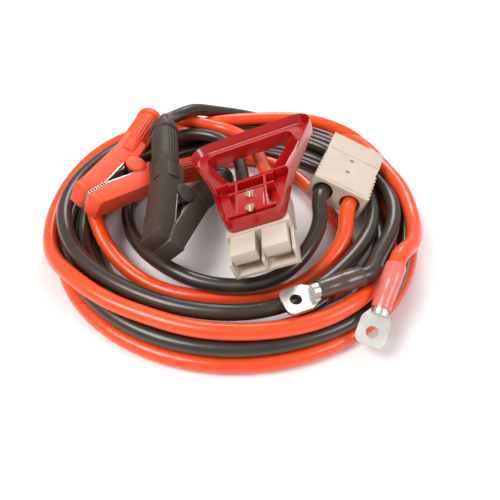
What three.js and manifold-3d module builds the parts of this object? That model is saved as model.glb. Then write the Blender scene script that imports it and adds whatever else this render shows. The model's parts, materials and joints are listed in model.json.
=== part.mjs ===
// Car jumper cable kit, coiled as it is stored: a clamp lead and a battery lead.
// Millimetres, +Z up. The origin is the centre of the coil on the floor.
import * as THREE from 'three';
import * as BufferGeometryUtils from 'three/addons/utils/BufferGeometryUtils.js';
import Module from 'manifold-3d';

const wasm = await Module();
wasm.setup();

// Clearance left between touching pieces
const gap = 0.3;

// Cable
const cableDiameter = 14;
const cableSides = 10;
const cableRadius = cableDiameter / 2;

// Coil: turns lie in a bottom row and a second row nested on it, pushed in towards the back
const coilOuterRadius = 181;
const turnPitch = 14.6;
const rowRise = 12.6;
const coilSegments = 40;
const coilShift = 8;
const coilFlattening = 10;

// Two-pole connector
const plugLength = 79.4;
const plugWidth = 55.6;
const plugThickness = 25.7;
const plugCableSpacing = 28;
const plugBoreRadius = 10;
const plugBoreDepth = 34;
const matingDepth = 24.7;
const shroudWall = 2.6;
const tongueWidth = 21;
const tongueHeight = 10.8;
const tongueInset = 1.5;
const tongueSetback = 2;
const keyRibWidth = 2.4;
const gripRibs = 7;
const gripRibPitch = 5.6;
const gripRibDepth = 1.3;
const plugScrewSpacing = 19;
const plugScrewOffset = -3.5;
const plugScrewRadius = 2.4;
const bladeWidth = 17;
const bladeThickness = 3.2;
const contactWall = 2.2;
const contactBarrelLength = 24;

// Pull handle
const handleLength = 138;
const handleReach = 12.5;
const handleWideEnd = 140;
const handleNarrowEnd = 58;
const handleThickness = 14;
const handleWideCorner = 18;
const handleNarrowCorner = 16;
const handleRim = 3;
const handlePocket = 5;
const gripBar = 27;
const gripLength = 57;
const gripWide = 96;
const gripNarrow = 40;
const gripCorner = 7;
const screwHeadRadius = 4.2;
const screwHeadHeight = 2.4;

// Ring lug and its heat-shrink sleeve
const lugHoleRadius = 5;
const lugPalmHalf = 12;
const lugPalmCorner = 6;
const lugPalmThickness = 3.2;
const lugPalmReach = 14;
const lugPalmEnd = 25;
const lugBarrelLength = 24;
const lugBarrelRadius = 6.6;
const sleeveWall = 1.3;
const sleeveLength = 38;
const sleeveOnBarrel = 18.6;

// Battery clamp
const jawLength = 68;
const jawDepth = 22;
const jawHeight = 14.6;
const jawSplit = 0.4;
const jawRoot = 24;
const mouthFront = 44;
const mouthRear = 9.5;
const mouthHeight = 8;
const handleTubeRadius = 13;
const handleTubeSides = 14;
const handleTubeLength = 86;
const handleSpread = 18.5 * Math.PI / 180;
const handleTubeRoot = 14.5;
const handleSocketDepth = 30;
const handleRimHeight = 7;
const pivotRadius = 3;
const earRadius = 7.5;
const earThickness = 1.8;
const cheekRadius = 10.5;
const cheekThickness = 1.7;
const toothPlateThickness = 2.4;
const toothPlateWidth = 14;
const toothPitch = 6;
const toothHeight = 1.6;
const coverLip = 1.2;
const springRadius = 5.6;
const springWire = 2;

// Where each rigid piece lies: place, then yaw, pitch and roll in degrees
const batteryPlugPose = { at: [108.4, 16.3, 48.6], turn: [68.7, 2.2, 15.9] };
const clampPlugPose = { at: [23, -71.2, 59.7], turn: [-88.8, -5, 20.2] };
const redClampPose = { at: [-104.8, 22.2, 48], turn: [242.3, -10.2, -25.5] };
const blackClampPose = { at: [-54.6, -19.3, 47.5], turn: [-95.6, -5, -44.3] };
const blackLugPose = { at: [62, -131, 48.3], turn: [202, 0, 0] };
const redLugPose = { at: [114.6, -143, 34.2], turn: [-116, 24, 0] };

// Colours
const colours = {
  redCable: [0xf04010, 0.28, 0],
  blackCable: [0x2b2724, 0.3, 0],
  redCover: [0xe5390f, 0.5, 0],
  blackCover: [0x3a322d, 0.6, 0],
  greyHousing: [0xc9c0b4, 0.5, 0],
  redHandle: [0xc01512, 0.2, 0],
  tinned: [0xd8d3c8, 0.35, 0.9],
  steel: [0xb9b9b4, 0.4, 0.9],
  screw: [0xd6c48a, 0.35, 0.9],
  redSleeve: [0xd8372c, 0.35, 0],
  blackSleeve: [0x332d2b, 0.3, 0],
};

function material(name) {
  const [color, roughness, metalness] = colours[name];
  return new THREE.MeshStandardMaterial({ color, roughness, metalness });
}

function piece(name, geometry, colour) {
  const mesh = new THREE.Mesh(geometry, material(colour));
  mesh.name = name;
  return mesh;
}

function posed(pose) {
  const group = new THREE.Group();
  const [yaw, pitch, roll] = pose.turn.map(THREE.MathUtils.degToRad);
  group.position.set(...pose.at);
  group.rotation.set(roll, pitch, yaw, 'ZYX');
  group.updateMatrixWorld(true);
  return group;
}

// Closed geometry to solid and back

function toSolid(geometry) {
  const bare = geometry.clone();
  bare.deleteAttribute('normal');
  bare.deleteAttribute('uv');
  const merged = BufferGeometryUtils.mergeVertices(bare, 1e-4);
  return new wasm.Manifold(new wasm.Mesh({
    numProp: 3,
    vertProperties: new Float32Array(merged.attributes.position.array),
    triVerts: new Uint32Array(merged.index.array),
  }));
}

function toGeometry(solid) {
  const mesh = solid.getMesh();
  const geometry = new THREE.BufferGeometry();
  geometry.setAttribute('position', new THREE.BufferAttribute(new Float32Array(mesh.vertProperties), 3));
  geometry.setIndex(new THREE.BufferAttribute(new Uint32Array(mesh.triVerts), 1));
  geometry.computeVertexNormals();
  return geometry;
}

// Simple forms given by their limits along x, y and z
function block(x0, x1, y0, y1, z0, z1) {
  const box = new THREE.BoxGeometry(x1 - x0, y1 - y0, z1 - z0);
  return toSolid(box.translate((x0 + x1) / 2, (y0 + y1) / 2, (z0 + z1) / 2));
}

function rodAlongX(radius, x0, x1, y = 0, z = 0, sides = 20) {
  const rod = new THREE.CylinderGeometry(radius, radius, x1 - x0, sides);
  return toSolid(rod.rotateZ(Math.PI / 2).translate((x0 + x1) / 2, y, z));
}

function rodAlongZ(radius, z0, z1, x = 0, y = 0, sides = 20) {
  const rod = new THREE.CylinderGeometry(radius, radius, z1 - z0, sides);
  return toSolid(rod.rotateX(Math.PI / 2).translate(x, y, (z0 + z1) / 2));
}

function plate(points, z0, z1) {
  const shape = new THREE.Shape(points.map(([x, y]) => new THREE.Vector2(x, y)));
  const slab = new THREE.ExtrudeGeometry(shape, { depth: z1 - z0, bevelEnabled: false });
  return toSolid(slab.translate(0, 0, z0));
}

// A polygon given counter-clockwise, moved inwards by inset, with its corners rounded
function roundedPolygon(corners, radii, inset = 0, steps = 5) {
  const count = corners.length;
  const edges = corners.map((corner, i) => {
    const next = corners[(i + 1) % count];
    const length = Math.hypot(next[0] - corner[0], next[1] - corner[1]);
    const along = [(next[0] - corner[0]) / length, (next[1] - corner[1]) / length];
    const start = [corner[0] - along[1] * inset, corner[1] + along[0] * inset];
    return { start, along };
  });
  const outline = [];
  for (let i = 0; i < count; i += 1) {
    const before = edges[(i + count - 1) % count];
    const after = edges[i];
    const cross = before.along[0] * after.along[1] - before.along[1] * after.along[0];
    const dx = after.start[0] - before.start[0];
    const dy = after.start[1] - before.start[1];
    const reach = (dx * after.along[1] - dy * after.along[0]) / cross;
    const corner = [before.start[0] + before.along[0] * reach, before.start[1] + before.along[1] * reach];
    const radius = Math.max(radii[i] - inset, 0.5);
    const turn = Math.asin(cross);
    const bend = before.along[0] * after.along[0] + before.along[1] * after.along[1] < 0 ? Math.PI - turn : turn;
    const back = radius * Math.tan(bend / 2);
    const centre = [corner[0] - before.along[0] * back - before.along[1] * radius,
      corner[1] - before.along[1] * back + before.along[0] * radius];
    const first = Math.atan2(-before.along[0], before.along[1]);
    for (let k = 0; k <= steps; k += 1) {
      const angle = first + bend * k / steps;
      outline.push([centre[0] + radius * Math.cos(angle), centre[1] + radius * Math.sin(angle)]);
    }
  }
  return outline;
}

// Cable solids

function cableTube(name, points, colour) {
  const route = new THREE.CatmullRomCurve3(points.map((p) => new THREE.Vector3(...p)), false, 'centripetal');
  // One section of the tube at each point of the route
  route.getUtoTmapping = (u) => u;
  const steps = points.length - 1;
  const section = new THREE.Shape();
  for (let i = 0; i < cableSides; i += 1) {
    const angle = 2 * Math.PI * (i + 0.5) / cableSides;
    const [x, y] = [cableRadius * Math.cos(angle), cableRadius * Math.sin(angle)];
    if (i === 0) section.moveTo(x, y);
    else section.lineTo(x, y);
  }
  const geometry = new THREE.ExtrudeGeometry(section, { steps, extrudePath: route, bevelEnabled: false });
  return piece(name, geometry, colour);
}

// Row 0 lies on the floor and is counted inwards from the outside, row 1 nests on it
function turnCentre(row, place) {
  const radius = coilOuterRadius - cableRadius - turnPitch * (place + row / 2);
  return [radius, cableRadius + rowRise * row];
}

// How far the coil leaves its round shape in a given direction
function pushedIn(direction) {
  return -coilShift * direction - coilFlattening * direction ** 2;
}

function turnSection(centre) {
  const outline = [];
  const sides = 10;
  for (let k = 0; k < sides; k += 1) {
    const angle = 2 * Math.PI * k / sides;
    const z = centre[1] + cableRadius * Math.sin(angle);
    outline.push([centre[0] + cableRadius * Math.cos(angle), z < 1 ? 0 : z]);
  }
  return outline;
}

function coilTurn(name, row, place, colour) {
  const outline = turnSection(turnCentre(row, place));
  const profile = [...outline, outline[0]].map(([x, z]) => new THREE.Vector2(x, z));
  const ring = new THREE.LatheGeometry(profile, coilSegments).rotateX(Math.PI / 2);
  const at = ring.attributes.position;
  for (let i = 0; i < at.count; i += 1) {
    const [x, y] = [at.getX(i), at.getY(i)];
    const radius = Math.hypot(x, y);
    const scale = 1 + pushedIn(y / radius) / radius;
    at.setXY(i, x * scale, y * scale);
  }
  ring.computeVertexNormals();
  return piece(name, ring, colour);
}

// Two-pole connector: x points to the mating end, z is out of the wide face

const plugRear = -plugLength / 2;
const plugFront = plugLength / 2;
const plugShoulder = plugFront - matingDepth;
const plugTop = plugThickness / 2;
const plugSide = plugWidth / 2;
const boreOffset = plugCableSpacing / 2;
const tongueBase = plugTop - tongueInset - tongueHeight;
const barrelStart = plugRear + plugBoreDepth - contactBarrelLength;
const cableStop = barrelStart + contactBarrelLength - contactWall;
const screwPlaces = [plugScrewOffset + plugScrewSpacing / 2, plugScrewOffset - plugScrewSpacing / 2];

function connectorHousing() {
  const side = [];
  const ribStart = plugRear + 2;
  for (let rib = 0; rib < gripRibs; rib += 1) {
    const x = ribStart + rib * gripRibPitch;
    side.push([x, plugSide], [x + gripRibPitch / 2, plugSide]);
    side.push([x + gripRibPitch / 2, plugSide - gripRibDepth], [x + gripRibPitch, plugSide - gripRibDepth]);
  }
  const upper = [[plugRear, plugSide - 2], ...side, [plugShoulder, plugSide]];
  const lower = upper.map(([x, y]) => [x, -y]);
  let housing = plate([...lower, ...upper.reverse()], -plugTop, plugTop);

  // Shroud and key rib around the mating space
  housing = housing.add(block(plugShoulder - 1, plugFront, -plugSide, plugSide, -plugTop, -plugTop + shroudWall));
  [-1, 1].forEach((hand) => {
    const outer = hand * plugSide;
    const inner = hand * (plugSide - shroudWall);
    housing = housing.add(block(plugShoulder - 1, plugFront, Math.min(outer, inner), Math.max(outer, inner),
      -plugTop, tongueBase + tongueHeight / 3));
    // Tongue over the contact blade
    const middle = hand * (boreOffset - 0.5);
    housing = housing.add(block(plugShoulder - 1, plugFront - tongueSetback, middle - tongueWidth / 2,
      middle + tongueWidth / 2, tongueBase, tongueBase + tongueHeight));
  });
  housing = housing.add(block(plugShoulder - 1, plugFront, -keyRibWidth / 2, keyRibWidth / 2, -plugTop, tongueBase));

  // Cable bores, blade slots and the two screw holes
  [-1, 1].forEach((hand) => {
    const y = hand * boreOffset;
    housing = housing.subtract(rodAlongX(plugBoreRadius, plugRear - 1, plugRear + plugBoreDepth, y));
    housing = housing.subtract(block(plugRear + plugBoreDepth - 1, plugShoulder + 1, y - bladeWidth / 2 - gap,
      y + bladeWidth / 2 + gap, tongueBase - bladeThickness - 3 * gap, tongueBase - gap));
  });
  screwPlaces.forEach((x) => {
    housing = housing.subtract(rodAlongZ(plugScrewRadius, -plugTop - 1, plugTop + 1, x, 0, 14));
  });
  return toGeometry(housing);
}

function contact(hand) {
  const y = hand * boreOffset;
  const bladeTop = tongueBase - 2 * gap;
  const barrelEnd = barrelStart + contactBarrelLength - gap;
  const barrel = rodAlongX(plugBoreRadius - gap, barrelStart, barrelEnd, y)
    .subtract(rodAlongX(cableRadius + gap, barrelStart - 1, cableStop, y));
  const blade = block(barrelEnd - 1, plugFront - tongueSetback - 2, y - bladeWidth / 2, y + bladeWidth / 2,
    bladeTop - bladeThickness, bladeTop);
  return toGeometry(barrel.add(blade));
}

// A connector lies either way up; its like is moulded the same, so it is turned over about x
function connector(pose, name, blackSide, turnedOver) {
  const group = posed(pose);
  const over = turnedOver ? Math.PI : 0;
  const add = (part, geometry, colour) => group.add(piece(`${name}_${part}`, geometry.rotateX(over), colour));
  add('housing', connectorHousing(), 'greyHousing');
  add('contact_black', contact(turnedOver ? -blackSide : blackSide), 'tinned');
  add('contact_red', contact(turnedOver ? blackSide : -blackSide), 'tinned');
  return group;
}

// Triangular pull handle screwed to the wide face of the clamp lead's connector

function handleOutline(inset) {
  const rear = handleReach - handleLength;
  return roundedPolygon([[rear, -handleWideEnd / 2], [handleReach, -handleNarrowEnd / 2],
    [handleReach, handleNarrowEnd / 2], [rear, handleWideEnd / 2]],
  [handleWideCorner, handleNarrowCorner, handleNarrowCorner, handleWideCorner], inset);
}

function gripOutline(inset) {
  const rear = handleReach - handleLength + gripBar;
  const front = rear + gripLength;
  return roundedPolygon([[rear, -gripWide / 2], [front, -gripNarrow / 2], [front, gripNarrow / 2],
    [rear, gripWide / 2]], Array(4).fill(gripCorner), inset, 4);
}

function pullHandle() {
  const under = plugTop + gap;
  const over = under + handleThickness;
  let handle = plate(handleOutline(0), under, over).subtract(plate(gripOutline(0), under - 1, over + 1));
  const land = block(screwPlaces[1] - 8, screwPlaces[0] + 8, -10, 10, under, over);
  const channel = plate(handleOutline(handleRim), over - handlePocket, over + 1)
    .subtract(plate(gripOutline(-handleRim), under, over + 2)).subtract(land);
  handle = handle.subtract(channel);
  screwPlaces.forEach((x) => {
    handle = handle.subtract(rodAlongZ(plugScrewRadius, under - 1, over + 1, x, 0, 14));
  });
  return toGeometry(handle);
}

function handleScrew(x) {
  const over = plugTop + gap + handleThickness + gap;
  const shank = rodAlongZ(plugScrewRadius - gap, -plugTop + 2, over + 1, x, 0, 12);
  const head = rodAlongZ(screwHeadRadius, over, over + screwHeadHeight, x, 0, 16);
  const slot = block(x - screwHeadRadius - 1, x + screwHeadRadius + 1, -0.5, 0.5,
    over + screwHeadHeight - 1.2, over + screwHeadHeight + 1);
  return toGeometry(shank.add(head).subtract(slot));
}

// Ring lug: x points from the cable to the palm, z is out of the palm

function ringLug() {
  const palmTop = -lugBarrelRadius + lugPalmThickness + 1;
  const palmUnder = palmTop - lugPalmThickness;
  let lug = rodAlongX(lugBarrelRadius, -lugBarrelLength, 0, 0, 0, 16);
  const palm = roundedPolygon([[-5, -lugBarrelRadius], [4, -lugPalmHalf], [lugPalmEnd, -lugPalmHalf],
    [lugPalmEnd, lugPalmHalf], [4, lugPalmHalf], [-5, lugBarrelRadius]],
  [1, 4, lugPalmCorner, lugPalmCorner, 4, 1]);
  lug = lug.add(plate(palm, palmUnder, palmTop));
  lug = lug.subtract(rodAlongZ(lugHoleRadius, palmUnder - 1, palmTop + 1, lugPalmReach, 0, 20));
  return toGeometry(lug);
}

function shrinkSleeve() {
  const inner = cableRadius + gap;
  const rear = -lugBarrelLength - (sleeveLength - sleeveOnBarrel);
  const front = -lugBarrelLength + sleeveOnBarrel;
  const profile = [[inner, rear], [inner + sleeveWall, rear], [inner + sleeveWall, -lugBarrelLength - 3],
    [inner + sleeveWall * 0.7, -lugBarrelLength + 2], [inner + sleeveWall * 0.7, front], [inner, front]];
  const points = [...profile, profile[0]].map(([r, x]) => new THREE.Vector2(r, x));
  return new THREE.LatheGeometry(points, 16).rotateZ(-Math.PI / 2);
}

// Battery clamp: x points to the jaw tip, z is along the pivot pin

// One half, on the +y side; the other half is its mirror image turned about x
function clampCover(withSocket) {
  const half = jawDepth / 2;
  const top = jawHeight;
  const profile = [[mouthRear, mouthHeight], [mouthFront, coverLip], [jawLength, coverLip], [jawLength, top - 2],
    [jawLength - 3, top], [mouthRear + 8, jawRoot], [-6, jawRoot + 4.5], [-30, jawRoot + 13], [-30, 11], [-12, 5.2]];
  let cover = plate(profile, -half, half);
  // Handle tube with a rim and a domed end
  const r = handleTubeRadius;
  const dome = [[0, 8], [r, 8], [r, handleTubeLength - handleRimHeight], [r + 1, handleTubeLength - handleRimHeight],
    [r + 1, handleTubeLength - 3], [r * 0.8, handleTubeLength + 3], [r * 0.45, handleTubeLength + 6],
    [0, handleTubeLength + 6.5]];
  const tube = new THREE.LatheGeometry(dome.map(([x, y]) => new THREE.Vector2(x, y)), handleTubeSides);
  tube.rotateZ(Math.PI / 2 - handleSpread).translate(0, handleTubeRoot, 0);
  cover = cover.add(toSolid(tube));
  // Room for the pivot and the toothed plate; the cable half has a cheek over each end of the pin
  const inside = half - cheekThickness;
  const recess = withSocket ? inside : half + 1;
  cover = cover.subtract(rodAlongZ(cheekRadius + gap, -recess, recess, 0, 0, 24));
  if (withSocket) {
    cover = cover.add(rodAlongZ(cheekRadius, inside, half, 0, 0, 24));
    cover = cover.add(rodAlongZ(cheekRadius, -half, -inside, 0, 0, 24));
  }
  cover = cover.subtract(rodAlongZ(pivotRadius + gap, -half - 1, half + 1, 0, 0, 16));
  const plateTop = jawSplit + toothHeight + toothPlateThickness + gap;
  cover = cover.subtract(plate([[mouthRear - 1, -1], [jawLength - 2, -1], [jawLength - 2, plateTop],
    [mouthFront - 2, plateTop], [mouthRear - 1, mouthHeight]], -toothPlateWidth / 2 - gap, toothPlateWidth / 2 + gap));
  if (withSocket) {
    const bore = new THREE.CylinderGeometry(cableRadius + gap, cableRadius + gap, handleSocketDepth + 10, 16);
    bore.translate(0, handleTubeLength - handleSocketDepth / 2 + 5, 0);
    bore.rotateZ(Math.PI / 2 - handleSpread).translate(0, handleTubeRoot, 0);
    cover = cover.subtract(toSolid(bore));
  }
  return cover;
}

function clampJaw(earOffset) {
  const base = jawSplit + toothHeight;
  const half = toothPlateWidth / 2;
  const over = base + toothPlateThickness;
  const rise = mouthHeight - toothPlateThickness - 2 * gap;
  let jaw = plate([[mouthRear, rise], [mouthFront - 2, base], [jawLength - 3, base], [jawLength - 3, over],
    [mouthFront - 2, over], [mouthRear, rise + toothPlateThickness]], -half, half);
  for (let x = mouthFront; x < jawLength - 5; x += toothPitch) {
    jaw = jaw.add(plate([[x - toothPitch / 2, base + 0.2], [x, jawSplit], [x + toothPitch / 2, base + 0.2]], -half, half));
  }
  [-1, 1].forEach((hand) => {
    const z0 = Math.min(hand * earOffset, hand * (earOffset + earThickness));
    jaw = jaw.add(rodAlongZ(earRadius, z0, z0 + earThickness));
    const link = [[-1, 6], [5, 1], [mouthRear + 3, rise], [mouthRear + 3, rise + toothPlateThickness - 0.2], [0, earRadius - 0.1]];
    jaw = jaw.add(plate(link, z0, z0 + earThickness));
  });
  return jaw.subtract(rodAlongZ(pivotRadius + gap, -half - 2, half + 2, 0, 0, 16));
}

function pivotPin() {
  const half = jawDepth / 2;
  return toGeometry(rodAlongZ(pivotRadius, -half, half, 0, 0, 16));
}

function clampSpring() {
  const inner = pivotRadius + gap;
  const reach = 2.8;
  const outline = [[inner, -reach], [springRadius, -reach], [springRadius + 0.6, -reach / 2],
    [springRadius, 0], [springRadius + 0.6, reach / 2], [springRadius, reach], [inner, reach], [inner, -reach]];
  return new THREE.LatheGeometry(outline.map(([x, y]) => new THREE.Vector2(x, y)), 20).rotateX(Math.PI / 2);
}

// cableSide is +1 where the half with the cable lies towards +y
function clamp(pose, name, cableSide, coverColour) {
  const group = posed(pose);
  const flip = (solid, side) => (side > 0 ? solid : solid.mirror([0, 1, 0]));
  const add = (part, geometry, colour) => group.add(piece(`${name}_${part}`, geometry, colour));
  add('cable_half_cover', toGeometry(flip(clampCover(true), cableSide)), coverColour);
  add('free_half_cover', toGeometry(flip(clampCover(false), -cableSide)), coverColour);
  add('cable_half_jaw', toGeometry(flip(clampJaw(5.2), cableSide)), 'steel');
  add('free_half_jaw', toGeometry(flip(clampJaw(3.1), -cableSide)), 'steel');
  add('pivot_pin', pivotPin(), 'steel');
  add('spring', clampSpring(), 'steel');
  return group;
}

// Points on a posed piece, for the cables that leave it
function placeOn(group, x, y, z = 0) {
  return group.localToWorld(new THREE.Vector3(x, y, z)).toArray();
}

const kit = new THREE.Group();

const batteryPlug = connector(batteryPlugPose, 'battery_plug', 1, true);
kit.add(batteryPlug);

const clampPlug = connector(clampPlugPose, 'clamp_plug', -1, false);
clampPlug.add(piece('pull_handle', pullHandle(), 'redHandle'));
clampPlug.add(piece('handle_screw_front', handleScrew(screwPlaces[0]), 'screw'));
clampPlug.add(piece('handle_screw_rear', handleScrew(screwPlaces[1]), 'screw'));
kit.add(clampPlug);

const redClamp = clamp(redClampPose, 'red_clamp', 1, 'redCover');
const blackClamp = clamp(blackClampPose, 'black_clamp', -1, 'blackCover');
kit.add(redClamp, blackClamp);

const blackLug = posed(blackLugPose);
blackLug.add(piece('lug_black', ringLug(), 'tinned'), piece('heat_shrink_black', shrinkSleeve(), 'blackSleeve'));
const redLug = posed(redLugPose);
redLug.add(piece('lug_red', ringLug(), 'tinned'), piece('heat_shrink_red', shrinkSleeve(), 'redSleeve'));
kit.add(blackLug, redLug);

// The turns of the coil
kit.add(coilTurn('battery_red_turn', 0, 0, 'redCable'));
kit.add(coilTurn('clamp_black_turn_outer', 1, 0, 'blackCable'));
kit.add(coilTurn('clamp_red_turn', 0, 1, 'redCable'));
kit.add(coilTurn('battery_black_turn', 1, 1, 'blackCable'));
kit.add(coilTurn('clamp_black_turn_inner', 0, 2, 'blackCable'));

// Free stretches of cable, from the piece that holds each one
function leaving(group, x, y, direction, reaches, z = 0) {
  return reaches.map((reach) => placeOn(group, x + direction[0] * reach, y + direction[1] * reach, z));
}

kit.add(cableTube('battery_black_to_plug', [
  ...leaving(batteryPlug, cableStop - gap, boreOffset, [-1, 0], [0, 16, 32, 44]),
  [76, -50, 47], [56, -86, 37], [30, -103.5, 27], [4, -104, 22.6], [-31, -100.5, 22.6],
  [-57, -86, 23.5], [-88, -56, 17], [-108, -18, 9], [-116, 18, 7.4], [-106, 50, 7.4],
], 'blackCable'));
kit.add(cableTube('battery_red_to_plug', [
  ...leaving(batteryPlug, cableStop - gap, -boreOffset, [-1, 0], [0, 16, 32, 42]),
  [99, -57, 37], [85, -77, 28], [58, -97, 15], [31, -103, 7.6], [4, -105, 7.4], [-31, -105, 7.6],
  [-66, -97, 8], [-97, -78, 10], [-124, -50, 17], [-137, -24, 28], [-145, 4, 34], [-142, 34, 34],
], 'redCable'));
kit.add(cableTube('battery_black_to_lug', [
  ...leaving(blackLug, -lugBarrelLength - gap, 0, [-1, 0], [0, 14, 28]),
  [123, -88, 42], [138, -60, 36.5], [150, -33, 34], [153, -8, 33.9],
], 'blackCable'));
kit.add(cableTube('battery_red_to_lug', [
  ...leaving(redLug, -lugBarrelLength - gap, 0, [-1, 0], [0, 14, 28]),
  [154, -76, 47], [164, -48, 38], [168, -18, 34], [166, 10, 33.9], [156, 36, 33.9],
], 'redCable'));
kit.add(cableTube('clamp_black_to_plug', [
  ...leaving(clampPlug, cableStop - gap, -boreOffset, [-1, 0], [0, 16, 32, 42]),
  [4, 34, 38], [0, 62, 34], [-11, 89, 34], [-25, 101, 34],
], 'blackCable'));
kit.add(cableTube('clamp_red_to_plug', [
  ...leaving(clampPlug, cableStop - gap, boreOffset, [-1, 0], [0, 16, 32, 42]),
  [26, 36, 44], [20, 68, 39], [7, 96, 37], [-17, 119, 34], [-50, 126, 34],
], 'redCable'));

const socketStart = handleTubeLength - handleSocketDepth + 2;
const handleAxis = [-Math.cos(handleSpread), Math.sin(handleSpread)];
const handleReaches = [socketStart, handleTubeLength - 8, handleTubeLength + 9];
kit.add(cableTube('clamp_black_to_clamp', [
  ...leaving(blackClamp, 0, -handleTubeRoot, [handleAxis[0], -handleAxis[1]], handleReaches),
  [-74, 92, 64], [-64, 114, 56], [-46, 135, 46], [-22, 154, 34.4], [8, 168.5, 20.5], [40, 172.5, 9.8], [72.5, 165, 7.4],
  [102, 145, 7.4], [129, 123, 7.4],
], 'blackCable'));
kit.add(cableTube('clamp_red_to_clamp', [
  ...leaving(redClamp, 0, handleTubeRoot, handleAxis, handleReaches),
  [-17, 90, 9], [8, 97, 7.4], [38, 88, 7.4], [64, 66, 7.4], [82, 36, 7.4], [94, 4, 7.4], [108, -26, 7.4],
], 'redCable'));
kit.add(cableTube('clamp_black_top_turn', [
  [133, 14, 20.5], [133, -14, 27], [127, -40, 33.4], [116, -64, 34], [97, -88, 34], [69, -116, 34], [36, -134, 34],
  [5, -140, 34], [-27, -138, 34], [-57, -131, 34], [-97, -112, 34], [-128, -90, 34], [-152, -59, 34],
  [-166, -25, 34], [-167, 12, 34], [-158, 42, 34],
], 'blackCable'));
kit.add(cableTube('clamp_red_top_turn', [
  [92, -134, 34], [77, -144, 34], [52, -152, 34], [28, -157, 34], [5, -158, 34],
  [-33, -155, 34], [-68, -143, 34], [-106, -127, 34], [-136, -104, 34],
], 'redCable'));

export default kit;
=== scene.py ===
"""Looks of a coiled car jumper cable kit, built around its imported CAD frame. Metres, +Z up."""
import json
import math

import bmesh
import bpy
import numpy as np
from bpy.props import FloatProperty, FloatVectorProperty, PointerProperty
from mathutils import Matrix, Vector


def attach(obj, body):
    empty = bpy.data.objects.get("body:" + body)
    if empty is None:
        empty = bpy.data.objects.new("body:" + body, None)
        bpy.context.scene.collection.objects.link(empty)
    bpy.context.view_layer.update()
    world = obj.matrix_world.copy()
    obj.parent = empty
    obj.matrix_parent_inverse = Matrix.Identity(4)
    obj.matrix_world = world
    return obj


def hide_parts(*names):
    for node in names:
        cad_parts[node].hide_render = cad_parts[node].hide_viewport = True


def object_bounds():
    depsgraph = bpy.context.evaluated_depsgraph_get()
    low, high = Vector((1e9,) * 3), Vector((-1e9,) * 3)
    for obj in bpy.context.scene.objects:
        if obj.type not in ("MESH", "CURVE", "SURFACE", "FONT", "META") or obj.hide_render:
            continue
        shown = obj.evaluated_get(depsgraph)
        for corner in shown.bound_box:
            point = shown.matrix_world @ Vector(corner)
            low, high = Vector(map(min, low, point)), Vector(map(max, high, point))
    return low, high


bl_info = {
    "name": "Car jumper cable kit",
    "version": (1, 0, 0),
    "blender": (4, 5, 0),
    "location": "View3D > Sidebar > Jumper cable",
    "description": "Builds the cables, clamps, connectors, pull handle and lugs of a coiled jumper cable kit",
    "category": "Mesh",
}

MM = 0.001
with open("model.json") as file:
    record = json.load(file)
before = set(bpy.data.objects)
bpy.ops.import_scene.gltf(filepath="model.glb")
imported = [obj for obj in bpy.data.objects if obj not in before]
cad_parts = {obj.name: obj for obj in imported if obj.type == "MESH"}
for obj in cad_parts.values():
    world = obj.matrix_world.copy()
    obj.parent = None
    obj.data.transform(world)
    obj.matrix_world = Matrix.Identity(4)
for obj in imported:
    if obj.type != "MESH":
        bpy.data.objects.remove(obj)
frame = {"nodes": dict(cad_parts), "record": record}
CAD_BOX = [list(corner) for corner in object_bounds()]
KIT = "kit"
FREE_HALF = "red_clamp_free_half"

# Sizes below are in millimetres and angles in degrees, unless a line says otherwise
CLEARANCE = 0.3

# Where each rigid piece lies, then its yaw, pitch and roll
BATTERY_PLUG = ((108.4, 16.3, 48.6), (68.7, 2.2, 15.9))
CLAMP_PLUG = ((23, -71.2, 59.7), (-88.8, -5, 20.2))
RED_CLAMP = ((-104.8, 22.2, 48), (242.3, -10.2, -25.5))
BLACK_CLAMP = ((-54.6, -19.3, 47.5), (-95.6, -5, -44.3))
BLACK_LUG = ((62, -131, 48.3), (202, 0, 0))
RED_LUG = ((114.6, -143, 34.2), (-116, 24, 0))

# Connectors
PLUG_LENGTH = 79.4
PLUG_THICKNESS = 25.7
PLUG_BORE_DEPTH = 34
CONTACT_WALL = 2.2
CABLE_SPACING = 28
CABLE_STOP = -PLUG_LENGTH / 2 + PLUG_BORE_DEPTH - CONTACT_WALL - CLEARANCE
PLUG_ROUNDING = 0.7

# Ridges across both broad faces of a connector: the place along it and half the ridge's length
RIDGES = ((-PLUG_LENGTH / 2 + 4, 20), (PLUG_LENGTH / 2 - 26, 26))
RIDGE_HALF_WIDTH = 1.1
RIDGE_SUNK = 0.6
RIDGE_PROUD = 0.7
RIDGE_ROUNDING = 0.5

# Pull handle, in the connector's own axes: outlines as corners in order with the radius of each
HANDLE_CORNERS = ((-125.5, -70), (-36, -36), (12.5, -25), (12.5, 25), (-36, 36), (-125.5, 70))
HANDLE_RADII = (17, 30, 9, 9, 30, 17)
OPENING_CORNERS = ((-98.5, -48), (-60, -29.1), (-41.5, -20), (-41.5, 20), (-60, 29.1), (-98.5, 48))
OPENING_RADII = (8, 30, 6, 6, 30, 8)
HANDLE_THICKNESS = 14
HANDLE_RIM = 3
HANDLE_POCKET = 10
HANDLE_ROUNDING = 0.9
HANDLE_SHARP = 50

# The seat under the handle's screws and its ribs: limits along the handle and across it
SEAT_LENGTH = (-21, 6.2)
SEAT_HALF_WIDTH = 12
SEAT_LIFT = 1
SEAT_ROUNDING = 1.2
CROSS_RIBS = (-38.5, -24, 6.5)
CROSS_RIB_HALF_WIDTH = 1.2
CROSS_RIB_REACH = 21
LONG_RIB_LENGTH = (-38, 8)
LONG_RIB_SIDE = (12, 14.2)
CORNER_RIB_LENGTH = (-42.5, -40.1)
CORNER_RIB_SIDE = (19, 34)
RIB_SUNK = 0.5
RIB_BELOW_RIM = 0.6
RIB_ROUNDING = 0.5

# Handles of the clamps
GRIP_SPREAD = math.radians(18.5)
GRIP_ROOT = 14.5
GRIP_RADIUS = 13
COVER_ROUNDING = 0.9

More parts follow.
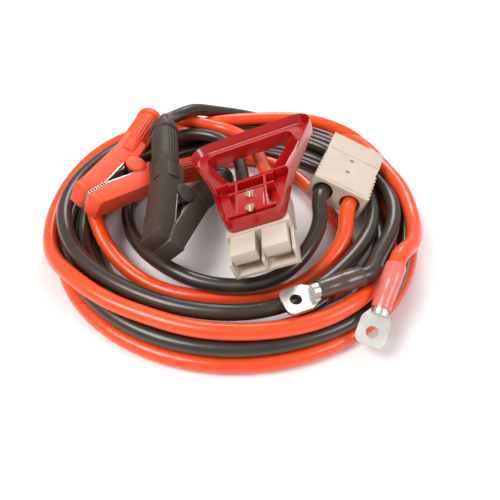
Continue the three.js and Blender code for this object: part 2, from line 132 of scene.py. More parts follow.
# Ribs along the panels of a clamp's handle
PANELS = (0, 90, 180, 270)
PANEL_RIBS = range(-2, 3)
PANEL_RIB_STEP = 13
PANEL_RIB_LENGTH = (27, 72)
PANEL_RIB_HALF_WIDTH = 0.8
PANEL_RIB_SUNK = 1.2
PANEL_RIB_PROUD = 0.5
PANEL_RIB_ROUNDING = 0.35

# Outline of a clamp handle's end: distance along it and how far it stands past the handle's radius
GRIP_END = ((75.5, -1), (76, 0.7), (77, 1.3), (83, 1.3), (86, 0.1), (90, -3.5), (92.4, -7.6), (90.5, -7.8),
            (75.5, -1))

# Outline of the cap on a clamp's pivot: distance from the clamp's middle plane and radius
PIVOT_CAP = ((10.8, 0), (10.8, 9.6), (11.3, 9.9), (11.7, 9.2), (11.9, 6), (11.9, 0))

# Jaws of the clamps
MOUTH_REAR = 9.5
MOUTH_FRONT = 44
MOUTH_HEIGHT = 8
COVER_LIP = 1.2
JAW_LENGTH = 68
STEEL_HALF_WIDTH = 11.15
MOUTH_EDGE_START = 0.5
MOUTH_EDGE_HEIGHT = (-1.3, 0.2)
MOUTH_EDGE_ROUNDING = 0.3
TOOTH_PITCH = 3
TOOTH_START = 0.3
TOOTH_GAP = 0.9
TOOTH_HEIGHT = (0.15, 1.35)
TOOTH_ROUNDING = 0.2

# Steps on a jaw's tip: limits along the jaw, limits out from its middle, half width and rounding
TIP_STEPS = (((61, 68.8), (2.4, 15.2), 11.7, 0.9), ((56.5, 61), (3.4, 15.9), 11.3, 0.6))

# Springs of the clamps
SPRING_COILS = 3.5
SPRING_RADIUS = 5.2
SPRING_WIDTH = 5
SPRING_WIRE_RADIUS = 0.9

# Lugs, and the outline of a sleeve: distance along it and how far it stands past its inner radius
LUG_BARREL = 24.3
SLEEVE_RADIUS = 7.2
SLEEVE_OUTLINE = ((-44.5, 0), (-44.8, 0.9), (-43.5, 1.3), (-30, 1.4), (-27, 1.2), (-26, 0.9), (-18, 0.8),
                  (-7, 0.5), (-5.6, 0.2), (-5.6, -0.1), (-44.5, 0))

# Coil of cables
CABLE_RADIUS = 7
COIL_OUTER = 181
TURN_PITCH = 14.6
ROW_RISE = 12.6
COIL_SHIFT = 8
COIL_FLATTENING = 10
TURN_STEP = 15

# How far a cable runs straight on before each kind of end, farthest first
LUG_REACHES = (28, 14, 0)
CLAMP_REACHES = (95, 78, 58)

# How the cables are laid beside each other: points held at each end, points along the same cable that
# don't push, and the shares of a push, of a bend and of the way back that one round takes
CABLE_SPACE = 14.15
HELD_POINTS = 8
NEIGHBOURS = 7
PUSH_SHARE = 0.3
STRAIGHTENING = 0.5
RETURN_SHARE = 0.02

# Each cable's colour, what its far end is, the pieces on it and the solids that it stands for
CABLES = {
    "battery_black_cable": ("black", "fitting", ("lug_black",),
                            ("battery_black_to_plug", "battery_black_turn", "battery_black_to_lug")),
    "battery_red_cable": ("red", "fitting", ("lug_red",),
                          ("battery_red_to_plug", "battery_red_turn", "battery_red_to_lug")),
    "clamp_black_cable": ("black", "object", (),
                          ("clamp_black_to_plug", "clamp_black_top_turn", "clamp_black_turn_inner",
                           "clamp_black_turn_outer", "clamp_black_to_clamp")),
    "clamp_red_cable": ("red", "object", (),
                        ("clamp_red_to_plug", "clamp_red_top_turn", "clamp_red_turn", "clamp_red_to_clamp")),
}

# Distances under which points of a mesh are one: in metres on new pieces and solids, in
# millimetres on a turned shape
NEW_PIECE_MERGE = 1e-6
SOLID_MERGE = 1e-5
TURNED_MERGE = 1e-4

# Finishes: how the gloss changes about its middle, the share of the mottling's range that the colour
# takes, and the depth of the grain in metres
LEAST_ROUGHNESS = 0.04
GLOSSIER = 0.07
DULLER = 0.09
COAT_ROUGHNESS = 0.12
MOTTLING_RANGE = (0.3, 0.7)
MOTTLING_DETAIL = 5
GRAIN_DETAIL = 3
GRAIN_DEPTH = 0.0006

# Stage, in metres: each lamp's place, side and power in watts, the floor, and the camera with its
# sensor in millimetres
LAMPS = {
    "key_light": ((-0.9, -0.5, 1.5), 0.8, 24),
    "fill_light": ((1.1, -0.7, 1.0), 0.6, 8),
    "back_light": ((0.2, 1.2, 1.1), 0.7, 12),
}
SKY_STRENGTH = 0.5
FLOOR_HALF = 3
FLOOR_DROP = 0.0002
SENSOR_WIDTH = 36
FOCAL_PIXELS = 470
PHOTO_PIXELS = 500
CAMERA_PLACE = (0.013, -0.356, 0.344)
CAMERA_DOWN = 47.6


def pose_matrix(pose):
    place, turned = pose
    yaw, pitch, roll = (math.radians(angle) for angle in turned)
    rotation = Matrix.Rotation(yaw, 4, "Z") @ Matrix.Rotation(pitch, 4, "Y") @ Matrix.Rotation(roll, 4, "X")
    return Matrix.Scale(MM, 4) @ Matrix.Translation(place) @ rotation


def span(side, near, far):
    """Limits of a stretch on one side of the middle, low to high."""
    return sorted((side * near, side * far))


# Routes of the cables

def points(*places):
    return [Vector(place) * MM for place in places]


def polar(*places):
    """Points given by direction in degrees, distance from the middle and height."""
    return points(*((radius * math.cos(math.radians(angle)), radius * math.sin(math.radians(angle)), height)
                    for angle, radius, height in places))


def turn(row, place, first, last):
    """Points along one turn of the coil, every 15 degrees or so from first to last."""
    count = round(abs(last - first) / TURN_STEP)
    angles = [first + (last - first) * k / count for k in range(count + 1)]
    route = []
    for angle in angles:
        side = math.sin(math.radians(angle))
        radius = COIL_OUTER - CABLE_RADIUS - TURN_PITCH * (place + row / 2)
        radius = radius - COIL_SHIFT * side - COIL_FLATTENING * side ** 2
        route.append((angle, radius, CABLE_RADIUS + ROW_RISE * row))
    return polar(*route)


def leaving(pose, x, y, along, reaches):
    """Points on a straight line out of a rigid piece, at each of the distances in reaches."""
    matrix = pose_matrix(pose)
    return [matrix @ Vector((x + along[0] * s, y + along[1] * s, 0)) for s in reaches]


def from_plug(pose, side, reaches):
    return leaving(pose, CABLE_STOP, side * CABLE_SPACING / 2, (-1, 0), reaches)


def into_lug(pose):
    return leaving(pose, -LUG_BARREL, 0, (-1, 0), LUG_REACHES)


def into_clamp(pose, side):
    along = (-math.cos(GRIP_SPREAD), side * math.sin(GRIP_SPREAD))
    return leaving(pose, 0, side * GRIP_ROOT, along, CLAMP_REACHES)


def routes():
    """The listed points of the four cables, each from its connector to its far end."""
    battery_black = from_plug(BATTERY_PLUG, 1, (0, 16, 32, 44)) + points(
        (76, -50, 47), (56, -86, 37), (30, -103.5, 27), (4, -104, 22.6), (-31, -100.5, 22.6),
        (-57, -86, 23.5), (-88, -56, 17), (-108, -18, 9), (-116, 18, 7.4), (-106, 50, 7.4))
    battery_black += polar((135, 113, 7), (115, 112, 7), (90, 112, 7), (60, 116, 7), (30, 124, 9),
                           (10, 131, 15), (-10, 139, 20), (-28, 148, 21))
    battery_black += turn(1, 1, -45, -330) + polar((16, 153, 24), (6, 154, 31))
    battery_black += points((153, -8, 33.9), (150, -33, 34), (138, -60, 36.5), (123, -88, 42))
    battery_black += into_lug(BLACK_LUG)

    battery_red = from_plug(BATTERY_PLUG, -1, (0, 16, 32, 42)) + points(
        (99, -57, 37), (85, -77, 28), (58, -97, 15), (31, -103, 7.6), (4, -105, 7.4), (-31, -105, 7.6),
        (-66, -97, 8), (-97, -78, 10), (-124, -50, 17), (-137, -24, 28), (-145, 4, 34), (-142, 34, 34))
    battery_red += polar((150, 146, 34), (130, 142, 34), (110, 138, 33), (90, 138, 34), (75, 146, 34),
                         (62, 160, 33), (52, 175, 26), (42, 186, 14), (32, 184, 8), (20, 178, 7))
    battery_red += turn(0, 0, 10, -305) + polar((46, 176, 13), (37, 172, 26), (26, 164, 33.5))
    battery_red += points((156, 36, 33.9), (166, 10, 33.9), (168, -18, 34), (164, -48, 38), (154, -76, 47))
    battery_red += into_lug(RED_LUG)

    clamp_black = from_plug(CLAMP_PLUG, -1, (0, 16, 32, 42)) + points(
        (4, 34, 38), (0, 62, 34), (-11, 89, 34), (-25, 101, 34))
    clamp_black += polar((122, 128, 34), (143, 150, 34)) + points(
        (-158, 42, 34), (-167, 12, 34), (-166, -25, 34), (-152, -59, 34), (-128, -90, 34), (-97, -112, 34),
        (-57, -131, 34), (-27, -138, 34), (5, -140, 34), (36, -134, 34), (69, -116, 34), (97, -88, 34),
        (116, -64, 34), (127, -40, 33.4), (133, -14, 27), (133, 14, 20.5))
    clamp_black += polar((20, 136, 13), (34, 136, 8)) + turn(0, 2, 50, 365)
    clamp_black += polar((20, 150, 12), (35, 157, 18)) + turn(1, 0, 50, 350)
    clamp_black += polar((4, 171, 17), (18, 177, 11), (31, 179, 7.4)) + points(
        (129, 123, 7.4), (102, 145, 7.4), (72.5, 165, 7.4), (40, 172.5, 9.8), (8, 168.5, 20.5),
        (-22, 154, 34.4), (-46, 135, 46), (-64, 114, 56), (-74, 92, 64))
    clamp_black += into_clamp(BLACK_CLAMP, -1)

    clamp_red = from_plug(CLAMP_PLUG, 1, (0, 16, 32, 42)) + points(
        (26, 36, 44), (20, 68, 39), (7, 96, 37), (-17, 119, 34), (-50, 126, 34))
    clamp_red += polar((128, 152, 34), (145, 170, 30), (160, 180, 24), (180, 183, 20), (200, 182, 22))
    clamp_red += points((-136, -104, 34), (-106, -127, 34), (-68, -143, 34), (-33, -155, 34), (5, -158, 34),
                        (28, -157, 34), (52, -152, 34), (77, -144, 34), (92, -134, 34))
    clamp_red += polar((-48, 160, 30), (-38, 159, 18)) + turn(0, 1, -25, 297)
    clamp_red += polar((-54, 150, 17), (-45, 139, 18), (-36, 127, 12), (-26, 117, 7.4))
    clamp_red += points((108, -26, 7.4), (94, 4, 7.4), (82, 36, 7.4), (64, 66, 7.4), (38, 88, 7.4),
                        (8, 97, 7.4), (-17, 90, 9))
    clamp_red += into_clamp(RED_CLAMP, 1)
    return {"battery_black_cable": battery_black, "battery_red_cable": battery_red,
            "clamp_black_cable": clamp_black, "clamp_red_cable": clamp_red}


def resampled(route, spacing=0.010, between=24):
    """A smooth line through the points, cut into equal steps of about the spacing in metres."""
    keys = [np.array(p) for p in route]
    keys = [2 * keys[0] - keys[1]] + keys + [2 * keys[-1] - keys[-2]]
    fine = []
    for a, b, c, d in zip(keys, keys[1:], keys[2:], keys[3:]):
        t1 = np.linalg.norm(b - a) ** 0.5
        t2 = t1 + np.linalg.norm(c - b) ** 0.5
        t3 = t2 + np.linalg.norm(d - c) ** 0.5
        for t in np.linspace(t1, t2, between, endpoint=False):
            a1 = (t1 - t) / t1 * a + t / t1 * b
            a2 = (t2 - t) / (t2 - t1) * b + (t - t1) / (t2 - t1) * c
            a3 = (t3 - t) / (t3 - t2) * c + (t - t2) / (t3 - t2) * d
            b1 = (t2 - t) / t2 * a1 + t / t2 * a2
            b2 = (t3 - t) / (t3 - t1) * a2 + (t - t1) / (t3 - t1) * a3
            fine.append((t2 - t) / (t2 - t1) * b1 + (t - t1) / (t2 - t1) * b2)
    fine = np.array(fine + [keys[-2]])
    along = np.concatenate([[0], np.cumsum(np.linalg.norm(np.diff(fine, axis=0), axis=1))])
    count = round(along[-1] / spacing)
    places = np.linspace(0, along[-1], count + 1)
    return np.stack([np.interp(places, along, fine[:, k]) for k in range(3)], axis=1)


def settled(lines, rounds=160):
    """Moves the cables apart until they lie beside and on each other, as stiff cables do."""
    names = list(lines)
    sizes = [len(lines[name]) for name in names]
    at = np.concatenate([lines[name] for name in names])
    home = at.copy()
    owner = np.repeat(np.arange(len(names)), sizes)
    index = np.concatenate([np.arange(size) for size in sizes])
    total = np.repeat(sizes, sizes)
    held = (index < HELD_POINTS) | (index >= total - HELD_POINTS)
    free = np.nonzero(~held)[0]
    near_self = (owner[:, None] == owner[None, :]) & (np.abs(index[:, None] - index[None, :]) < NEIGHBOURS)
    space = CABLE_SPACE * MM
    for _ in range(rounds):
        apart = at[:, None, :] - at[None, :, :]
        distance = np.sqrt((apart ** 2).sum(axis=2)) + 1e-9
        push = np.where((distance < space) & ~near_self, space - distance, 0)
        move = (apart / distance[:, :, None] * push[:, :, None]).sum(axis=1) * PUSH_SHARE
        move[held] = 0
        at = at + move
        smooth = (4 * at[free - 1] + 4 * at[free + 1] - at[free - 2] - at[free + 2]) / 6
        at[free] += STRAIGHTENING * (smooth - at[free])
        at[free] += RETURN_SHARE * (home[free] - at[free])
        at[:, 2] = np.where(held, at[:, 2], np.maximum(at[:, 2], CABLE_RADIUS * MM))
    result = {}
    start = 0
    for name, size in zip(names, sizes):
        result[name] = at[start:start + size]
        start += size
    return result


# Materials

def shaded(colour, share):
    return tuple(part * share for part in colour)


def finish_material(name, colour, roughness, metallic=0.0, grain=900.0, bump=0.06, shade=0.86, mottling=60.0,
                    coat=0.0):
    """A moulded, sheathed or metal surface with its own mottling, fine grain and changing gloss."""
    material = bpy.data.materials.new(name)
    material.use_nodes = True
    tree = material.node_tree
    shader = tree.nodes["Principled BSDF"]
    shader.inputs["Metallic"].default_value = metallic
    shader.inputs["Coat Weight"].default_value = coat
    shader.inputs["Coat Roughness"].default_value = COAT_ROUGHNESS
    place = tree.nodes.new("ShaderNodeTexCoord")
    cloud = tree.nodes.new("ShaderNodeTexNoise")
    cloud.inputs["Scale"].default_value = mottling
    cloud.inputs["Detail"].default_value = MOTTLING_DETAIL
    tree.links.new(place.outputs["Object"], cloud.inputs["Vector"])
    ramp = tree.nodes.new("ShaderNodeValToRGB")
    for element, position in zip(ramp.color_ramp.elements, MOTTLING_RANGE):
        element.position = position
    ramp.color_ramp.elements[0].color = (*shaded(colour, shade), 1)
    ramp.color_ramp.elements[1].color = (*colour, 1)
    tree.links.new(cloud.outputs["Fac"], ramp.inputs["Fac"])
    tree.links.new(ramp.outputs["Color"], shader.inputs["Base Color"])
    fine = tree.nodes.new("ShaderNodeTexNoise")
    fine.inputs["Scale"].default_value = grain
    fine.inputs["Detail"].default_value = GRAIN_DETAIL
    tree.links.new(place.outputs["Object"], fine.inputs["Vector"])
    gloss = tree.nodes.new("ShaderNodeMapRange")
    gloss.inputs["To Min"].default_value = max(roughness - GLOSSIER, LEAST_ROUGHNESS)
    gloss.inputs["To Max"].default_value = roughness + DULLER
    tree.links.new(cloud.outputs["Fac"], gloss.inputs["Value"])
    tree.links.new(gloss.outputs["Result"], shader.inputs["Roughness"])
    relief = tree.nodes.new("ShaderNodeBump")
    relief.inputs["Strength"].default_value = bump
    relief.inputs["Distance"].default_value = GRAIN_DEPTH
    tree.links.new(fine.outputs["Fac"], relief.inputs["Height"])
    tree.links.new(relief.outputs["Normal"], shader.inputs["Normal"])
    return material


def make_materials():
    """The finish of every piece, by name."""
    look = bpy.context.scene.jumper_cable_looks
    red = tuple(look.red)
    black = tuple(look.black)
    tin = (0.72, 0.70, 0.66)
    steel = (0.62, 0.62, 0.60)
    yellow_zinc = (0.78, 0.66, 0.40)
    dull_copper = (0.60, 0.50, 0.36)
    red_shrink = (0.85, 0.16, 0.13)
    black_shrink = (0.075, 0.045, 0.038)
    finishes = {
        "red_cable": dict(colour=red, roughness=0.3, grain=500, bump=0.05, mottling=35, coat=0.25),
        "black_cable": dict(colour=black, roughness=0.32, grain=500, bump=0.05, shade=0.7, coat=0.25),
        "red_cover": dict(colour=shaded(red, 0.95), roughness=0.5, grain=1500, bump=0.12),
        "black_cover": dict(colour=shaded(black, 1.25), roughness=0.52, grain=1500, bump=0.12),
        "grey_housing": dict(colour=tuple(look.housing), roughness=0.5, grain=1300, bump=0.1, shade=0.93),
        "red_handle": dict(colour=tuple(look.handle), roughness=0.22, bump=0.03, mottling=25, coat=0.5),
        "tinned": dict(colour=tin, roughness=0.32, metallic=1, grain=700, bump=0.1, shade=0.8),
        "steel": dict(colour=steel, roughness=0.34, metallic=1, grain=1100, bump=0.14, shade=0.72),
        "screw": dict(colour=yellow_zinc, roughness=0.3, metallic=1, grain=1600, bump=0.1, shade=0.8),
        "red_sleeve": dict(colour=red_shrink, roughness=0.26, bump=0.08, mottling=90, coat=0.4),
        "black_sleeve": dict(colour=black_shrink, roughness=0.26, bump=0.08, mottling=90, coat=0.4),
        "contact": dict(colour=dull_copper, roughness=0.35, metallic=1, grain=1200, bump=0.1, shade=0.8),
    }
    return {name: finish_material(name, **finish) for name, finish in finishes.items()}


MATERIALS = {}


# Making of the pieces

def dressed(obj, slot, body=KIT, replaces=()):
    """A piece with its finish, its body, its material slot and the solids that it stands for."""
    obj.data.materials.clear()
    obj.data.materials.append(MATERIALS[slot])
    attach(obj, body)
    if replaces:
        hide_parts(*replaces)
    return obj


def new_piece(bm, name, sharp=35):
    bmesh.ops.remove_doubles(bm, verts=bm.verts, dist=NEW_PIECE_MERGE)
    bmesh.ops.recalc_face_normals(bm, faces=bm.faces)
    mesh = bpy.data.meshes.new(name)
    bm.to_mesh(mesh)
    bm.free()
    mesh.shade_smooth()
    mesh.set_sharp_from_angle(angle=math.radians(sharp))
    obj = bpy.data.objects.new(name, mesh)
    bpy.context.scene.collection.objects.link(obj)
    return obj


def bevelled(bm, width, segments=3, angle=28):
    """Rounds every edge that turns by more than the angle."""
    chosen = [edge for edge in bm.edges
              if len(edge.link_faces) == 2 and edge.calc_face_angle(0) > math.radians(angle)]
    bmesh.ops.bevel(bm, geom=chosen, offset=width, offset_type="OFFSET", segments=segments, profile=0.5,
                    affect="EDGES", clamp_overlap=True, material=-1)


def softened(node, name, width):
    """The solid of a node with its edges rounded as moulded edges are."""
    bm = bmesh.new()
    bm.from_mesh(frame["nodes"][node].data)
    bmesh.ops.remove_doubles(bm, verts=bm.verts, dist=SOLID_MERGE)
    bmesh.ops.dissolve_limit(bm, angle_limit=math.radians(1), verts=bm.verts, edges=bm.edges)
    bevelled(bm, width * MM)
    bmesh.ops.triangulate(bm, faces=bm.faces)
    return new_piece(bm, name, 30)


def join(bm, part):
    """Adds the part to the bmesh and frees it."""
    mesh = bpy.data.meshes.new("part")
    part.to_mesh(mesh)
    part.free()
    bm.from_mesh(mesh)
    bpy.data.meshes.remove(mesh)


def add_block(bm, matrix, x, y, z, rounding):
    """A rounded block between the limits given along x, y and z, in the piece's own millimetres."""
    part = bmesh.new()
    bmesh.ops.create_cube(part, size=1)
    for vert in part.verts:
        vert.co = Vector((x[0] + (vert.co.x + 0.5) * (x[1] - x[0]), y[0] + (vert.co.y + 0.5) * (y[1] - y[0]),
                          z[0] + (vert.co.z + 0.5) * (z[1] - z[0])))
    bevelled(part, rounding, 2)
    part.transform(matrix)
    join(bm, part)


def add_turned(bm, matrix, outline, segments=40):
    """A turned solid whose outline of (distance along, radius) runs along the piece's own x."""
    part = bmesh.new()
    verts = [part.verts.new((x, max(radius, 0), 0)) for x, radius in outline]
    edges = [part.edges.new(pair) for pair in zip(verts, verts[1:])]
    bmesh.ops.spin(part, geom=verts + edges, cent=(0, 0, 0), axis=(1, 0, 0), angle=2 * math.pi,
                   steps=segments, use_merge=True)
    bmesh.ops.remove_doubles(part, verts=part.verts, dist=TURNED_MERGE)
    part.transform(matrix)
    join(bm, part)


def tube_curve(name, line, radius, resolution=4):
    """A round cable or wire along a line of points in metres."""
    curve = bpy.data.curves.new(name, "CURVE")
    curve.dimensions = "3D"
    curve.bevel_depth = radius
    curve.bevel_resolution = resolution
    curve.use_fill_caps = True
    curve.resolution_u = 2
    spline = curve.splines.new("BEZIER")
    spline.bezier_points.add(len(line) - 1)
    for point, place in zip(spline.bezier_points, line):
        point.co = place
        point.handle_left_type = "AUTO"
        point.handle_right_type = "AUTO"
    obj = bpy.data.objects.new(name, curve)
    bpy.context.scene.collection.objects.link(obj)
    return obj


class JumperCableLooks(bpy.types.PropertyGroup):
    cable_diameter: FloatProperty(name="Cable diameter", description="Outside of the sheath",
                                  default=2 * CABLE_RADIUS * MM, unit="LENGTH")
    red: FloatVectorProperty(name="Red", description="Orange red of the positive cables", subtype="COLOR",
                             default=(0.93, 0.075, 0.008))
    black: FloatVectorProperty(name="Black", description="Warm black of the negative cables", subtype="COLOR",
                               default=(0.038, 0.027, 0.018))
    housing: FloatVectorProperty(name="Housing", description="Warm grey of the connectors", subtype="COLOR",
                                 default=(0.58, 0.49, 0.40))
    handle: FloatVectorProperty(name="Pull handle", description="Deep red of the pull handle",
                                subtype="COLOR", default=(0.45, 0.004, 0.004))


class AddCables(bpy.types.Operator):
    """The four cables, each one length from its connector to its far end"""

    bl_idname = "jumper_cable.cables"
    bl_label = "Cables"

    def execute(self, context):
        diameter = context.scene.jumper_cable_looks.cable_diameter
        lines = settled({name: resampled(route) for name, route in routes().items()})
        for name, line in lines.items():
            colour, far_end, fittings, nodes = CABLES[name]
            cable = dressed(tube_curve(name, line, diameter / 2, 5), f"{colour}_cable", replaces=nodes)
        return {"FINISHED"}


class AddConnectors(bpy.types.Operator):
    """The shells of the two connectors with their ridges"""

    bl_idname = "jumper_cable.connectors"
    bl_label = "Connectors"

    def execute(self, context):
        half = PLUG_THICKNESS / 2
        for name, pose in (("battery_plug", BATTERY_PLUG), ("clamp_plug", CLAMP_PLUG)):
            dressed(softened(f"{name}_housing", f"{name}_shell", PLUG_ROUNDING), "grey_housing",
                    replaces=[f"{name}_housing"])
            matrix = pose_matrix(pose)
            bm = bmesh.new()
            for face in (-1, 1):
                for x, half_length in RIDGES:
                    add_block(bm, matrix, (x - RIDGE_HALF_WIDTH, x + RIDGE_HALF_WIDTH),
                              (-half_length, half_length), span(face, half - RIDGE_SUNK, half + RIDGE_PROUD),
                              RIDGE_ROUNDING)
            dressed(new_piece(bm, f"{name}_ridges"), "grey_housing")
        return {"FINISHED"}


class AddPullHandle(bpy.types.Operator):
    """The pull handle's moulding with its seat and ribs"""

    bl_idname = "jumper_cable.pull_handle"
    bl_label = "Pull handle"

    def execute(self, context):
        under = PLUG_THICKNESS / 2 + CLEARANCE
        over = under + HANDLE_THICKNESS
        rib_height = (over - HANDLE_POCKET - RIB_SUNK, over - RIB_BELOW_RIM)
        matrix = pose_matrix(CLAMP_PLUG)
        bm = handle_frame(under, over)
        bm.transform(matrix)
        add_block(bm, matrix, SEAT_LENGTH, (-SEAT_HALF_WIDTH, SEAT_HALF_WIDTH), (under + SEAT_LIFT, over),
                  SEAT_ROUNDING)
        for x in CROSS_RIBS:
            add_block(bm, matrix, (x - CROSS_RIB_HALF_WIDTH, x + CROSS_RIB_HALF_WIDTH),
                      (-CROSS_RIB_REACH, CROSS_RIB_REACH), rib_height, RIB_ROUNDING)
        for side in (-1, 1):
            add_block(bm, matrix, LONG_RIB_LENGTH, span(side, *LONG_RIB_SIDE), rib_height, RIB_ROUNDING)
            add_block(bm, matrix, CORNER_RIB_LENGTH, span(side, *CORNER_RIB_SIDE), rib_height, RIB_ROUNDING)
        dressed(new_piece(bm, "pull_handle_moulding"), "red_handle", replaces=["pull_handle"])
        return {"FINISHED"}


def rounded(corners, radii, steps=6):
    """The points of an outline given by its corners in order, with each corner rounded."""
    outline = []
    for i, corner in enumerate(corners):
        corner = Vector(corner)
        before = (Vector(corners[i - 1]) - corner).normalized()
        after = (Vector(corners[(i + 1) % len(corners)]) - corner).normalized()
        bend = before.angle(after)
        back = radii[i] / math.tan(bend / 2)
        centre = corner + (before + after).normalized() * (radii[i] / math.sin(bend / 2))
        first = corner + before * back - centre
        last = corner + after * back - centre
        for k in range(steps + 1):
            outline.append(centre + first.slerp(last, k / steps).normalized() * radii[i])
    return outline


def handle_frame(under, over):
    """The handle's frame: a channel with rims around the grip opening, in its own millimetres."""
    outer = rounded(HANDLE_CORNERS, HANDLE_RADII)
    inner = rounded(OPENING_CORNERS, OPENING_RADII)
    bm = bmesh.new()
    outside, inside = [[bm.verts.new((point.x, point.y, over)) for point in ring] for ring in (outer, inner)]
    top = [bm.faces.new((outside[i - 1], outside[i], inside[i], inside[i - 1])) for i in range(len(outer))]
    bmesh.ops.recalc_face_normals(bm, faces=top)
    if top[0].normal.z < 0:
        bmesh.ops.reverse_faces(bm, faces=top)
    body = bmesh.ops.extrude_face_region(bm, geom=top)
    lower = [item for item in body["geom"] if isinstance(item, bmesh.types.BMVert)]
    bmesh.ops.translate(bm, verts=lower, vec=(0, 0, under - over))
    bmesh.ops.recalc_face_normals(bm, faces=bm.faces)
    top = [face for face in bm.faces if face.calc_center_median().z > over - 0.01]
    bmesh.ops.inset_region(bm, faces=top, thickness=HANDLE_RIM, depth=0)
    pocket = list({vert for face in top for vert in face.verts})
    bmesh.ops.translate(bm, verts=pocket, vec=(0, 0, -HANDLE_POCKET))
    bevelled(bm, HANDLE_ROUNDING, angle=HANDLE_SHARP)
    return bm


class AddClamps(bpy.types.Operator):
    """The two clamps: covers, grips, tips, mouth edges with teeth, pivot caps and springs"""

    bl_idname = "jumper_cable.clamps"
    bl_label = "Clamps"

    def execute(self, context):
        for colour, pose, cable_side in (("red", RED_CLAMP, 1), ("black", BLACK_CLAMP, -1)):
            matrix = pose_matrix(pose)
            cover = f"{colour}_cover"
            for half, side in (("cable", cable_side), ("free", -cable_side)):
                body = FREE_HALF if (colour, half) == ("red", "free") else KIT
                node = f"{colour}_clamp_{half}_half_cover"
                dressed(softened(node, f"{colour}_{half}_cover", COVER_ROUNDING), cover, body, [node])
                dressed(grip(matrix, side, f"{colour}_{half}_grip"), cover, body)
                dressed(tip(matrix, side, f"{colour}_{half}_tip"), cover, body)
                dressed(mouth_steel(matrix, side, f"{colour}_{half}_mouth"), "steel", body)
            bm = bmesh.new()
            upright = matrix @ Matrix.Rotation(math.pi / 2, 4, "Y")
            for face in (-1, 1):
                add_turned(bm, upright, [(face * along, radius) for along, radius in PIVOT_CAP])
            dressed(new_piece(bm, f"{colour}_clamp_pivot_covers"), cover)
            spring = tube_curve(f"{colour}_clamp_coil_spring", spring_line(matrix), SPRING_WIRE_RADIUS * MM)
            dressed(spring, "steel", replaces=[f"{colour}_clamp_spring"])
        return {"FINISHED"}


def grip(matrix, side, name):
    """The ribs along the panels of a clamp's handle, and the rim at its end."""
    spread = Matrix.Rotation(math.pi - side * GRIP_SPREAD, 4, "Z")
    own = matrix @ Matrix.Translation((0, side * GRIP_ROOT, 0)) @ spread
    bm = bmesh.new()
    for middle in PANELS:
        for k in PANEL_RIBS:
            around = Matrix.Rotation(math.radians(middle + k * PANEL_RIB_STEP), 4, "X")
            add_block(bm, own @ around, PANEL_RIB_LENGTH, (-PANEL_RIB_HALF_WIDTH, PANEL_RIB_HALF_WIDTH),
                      (GRIP_RADIUS - PANEL_RIB_SUNK, GRIP_RADIUS + PANEL_RIB_PROUD), PANEL_RIB_ROUNDING)
    add_turned(bm, own, [(along, GRIP_RADIUS + proud) for along, proud in GRIP_END])
    return new_piece(bm, name, 40)


def mouth_steel(matrix, side, name):
    """The bright edge of the jaw plate around the mouth, with its small teeth to the tip."""
    bm = bmesh.new()
    length = math.hypot(MOUTH_FRONT - MOUTH_REAR, MOUTH_HEIGHT - COVER_LIP)
    tilt = -math.atan2(MOUTH_HEIGHT - COVER_LIP, MOUTH_FRONT - MOUTH_REAR)
    tilted = Matrix.Rotation(side * tilt, 4, "Z")
    own = matrix @ Matrix.Translation((MOUTH_REAR, side * MOUTH_HEIGHT, 0)) @ tilted
    across = (-STEEL_HALF_WIDTH, STEEL_HALF_WIDTH)
    add_block(bm, own, (MOUTH_EDGE_START, length), span(side, *MOUTH_EDGE_HEIGHT), across,
              MOUTH_EDGE_ROUNDING)
    count = int((JAW_LENGTH - MOUTH_FRONT) / TOOTH_PITCH)
    for k in range(count):
        x = MOUTH_FRONT + k * TOOTH_PITCH
        add_block(bm, matrix, (x + TOOTH_START, x + TOOTH_PITCH - TOOTH_GAP), span(side, *TOOTH_HEIGHT),
                  across, TOOTH_ROUNDING)
    return new_piece(bm, name, 40)


def tip(matrix, side, name):
    """The stepped cap at the jaw's tip."""
    bm = bmesh.new()
    for along, out, half_width, rounding in TIP_STEPS:
        add_block(bm, matrix, along, span(side, *out), (-half_width, half_width), rounding)
    return new_piece(bm, name, 40)


def spring_line(matrix, steps=18):
    """The line of a clamp's spring, with so many steps to each coil."""
    count = round(SPRING_COILS * steps)
    line = []
    for k in range(count + 1):
        angle = 2 * math.pi * SPRING_COILS * k / count
        across = SPRING_WIDTH * (k / count - 0.5)
        place = Vector((SPRING_RADIUS * math.cos(angle), SPRING_RADIUS * math.sin(angle), across))
        line.append(matrix @ place)
    return line


class AddLugs(bpy.types.Operator):
    """The heat-shrink sleeves on the ring lugs"""

    bl_idname = "jumper_cable.lugs"
    bl_label = "Lugs"

    def execute(self, context):
        for colour, pose in (("black", BLACK_LUG), ("red", RED_LUG)):
            bm = bmesh.new()
            outline = [(along, SLEEVE_RADIUS + proud) for along, proud in SLEEVE_OUTLINE]
            add_turned(bm, pose_matrix(pose), outline, 48)
            sleeve = new_piece(bm, f"sleeve_{colour}", 50)
            dressed(sleeve, f"{colour}_sleeve", replaces=[f"heat_shrink_{colour}"])
        return {"FINISHED"}


class AddMetal(bpy.types.Operator):
    """Finishes on the solids of the frame, which the metal pieces keep as they are"""

    bl_idname = "jumper_cable.metal"
    bl_label = "Metal finishes"

    def execute(self, context):
        slots = {row["node"]: row["material_slot"] for row in frame["record"]["subparts"]}
        for node, obj in frame["nodes"].items():
            finish = MATERIALS["contact" if "contact" in node else slots[node]]
            if not obj.material_slots:
                obj.data.materials.append(finish)
            for holder in obj.material_slots:
                holder.material = finish
        return {"FINISHED"}


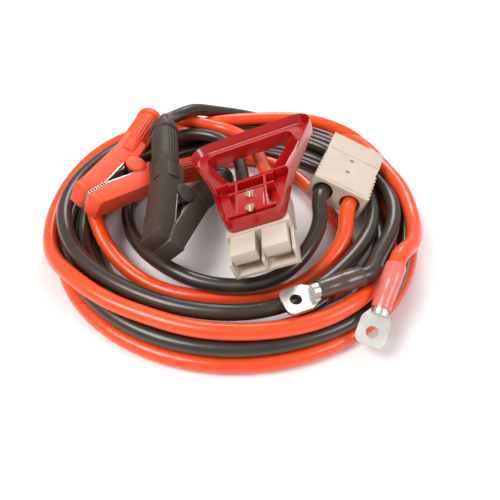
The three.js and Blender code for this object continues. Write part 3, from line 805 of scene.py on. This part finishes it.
class SetStage(bpy.types.Operator):
    """The floor, the soft studio light and the camera"""

    bl_idname = "jumper_cable.stage"
    bl_label = "Stage"

    def execute(self, context):
        scene = context.scene
        bm = bmesh.new()
        bmesh.ops.create_grid(bm, x_segments=1, y_segments=1, size=FLOOR_HALF)
        bmesh.ops.translate(bm, verts=bm.verts, vec=(0, 0, CAD_BOX[0][2] - FLOOR_DROP))
        mesh = bpy.data.meshes.new("floor")
        bm.to_mesh(mesh)
        bm.free()
        floor = bpy.data.objects.new("floor", mesh)
        scene.collection.objects.link(floor)
        mesh.materials.append(finish_material("floor_paint", (0.86, 0.86, 0.86), 0.6, shade=0.99, bump=0.01))
        for name, (place, side, power) in LAMPS.items():
            lamp = bpy.data.lights.new(name, "AREA")
            lamp.size = side
            lamp.energy = power
            holder = bpy.data.objects.new(name, lamp)
            holder.location = place
            holder.rotation_euler = (-Vector(place)).to_track_quat("-Z", "Y").to_euler()
            scene.collection.objects.link(holder)
        world = bpy.data.worlds.new("studio")
        world.use_nodes = True
        world.node_tree.nodes["Background"].inputs["Color"].default_value = (1, 1, 1, 1)
        world.node_tree.nodes["Background"].inputs["Strength"].default_value = SKY_STRENGTH
        scene.world = world
        scene.view_settings.view_transform = "Standard"
        camera = bpy.data.cameras.new("camera")
        camera.sensor_width = SENSOR_WIDTH
        camera.lens = SENSOR_WIDTH * FOCAL_PIXELS / PHOTO_PIXELS
        holder = bpy.data.objects.new("camera", camera)
        holder.location = CAMERA_PLACE
        holder.rotation_euler = (math.radians(90 - CAMERA_DOWN), 0, 0)
        scene.collection.objects.link(holder)
        scene.camera = holder
        return {"FINISHED"}


class JumperCablePanel(bpy.types.Panel):
    """Buttons for each group of pieces"""

    bl_idname = "VIEW3D_PT_jumper_cable"
    bl_label = "Jumper cable"
    bl_space_type = "VIEW_3D"
    bl_region_type = "UI"
    bl_category = "Jumper cable"

    def draw(self, context):
        for operator in OPERATORS:
            self.layout.operator(operator.bl_idname)


OPERATORS = (SetStage, AddCables, AddMetal, AddConnectors, AddPullHandle, AddClamps, AddLugs)
CLASSES = (JumperCableLooks, *OPERATORS, JumperCablePanel)


def register():
    for item in CLASSES:
        bpy.utils.register_class(item)
    bpy.types.Scene.jumper_cable_looks = PointerProperty(type=JumperCableLooks)


def unregister():
    del bpy.types.Scene.jumper_cable_looks
    for item in reversed(CLASSES):
        bpy.utils.unregister_class(item)


def main():
    register()
    MATERIALS.update(make_materials())
    bpy.ops.jumper_cable.stage()
    bpy.ops.jumper_cable.cables()
    bpy.ops.jumper_cable.metal()
    bpy.ops.jumper_cable.connectors()
    bpy.ops.jumper_cable.pull_handle()
    bpy.ops.jumper_cable.clamps()
    bpy.ops.jumper_cable.lugs()
    bpy.context.view_layer.update()


if __name__ == "__main__":
    main()
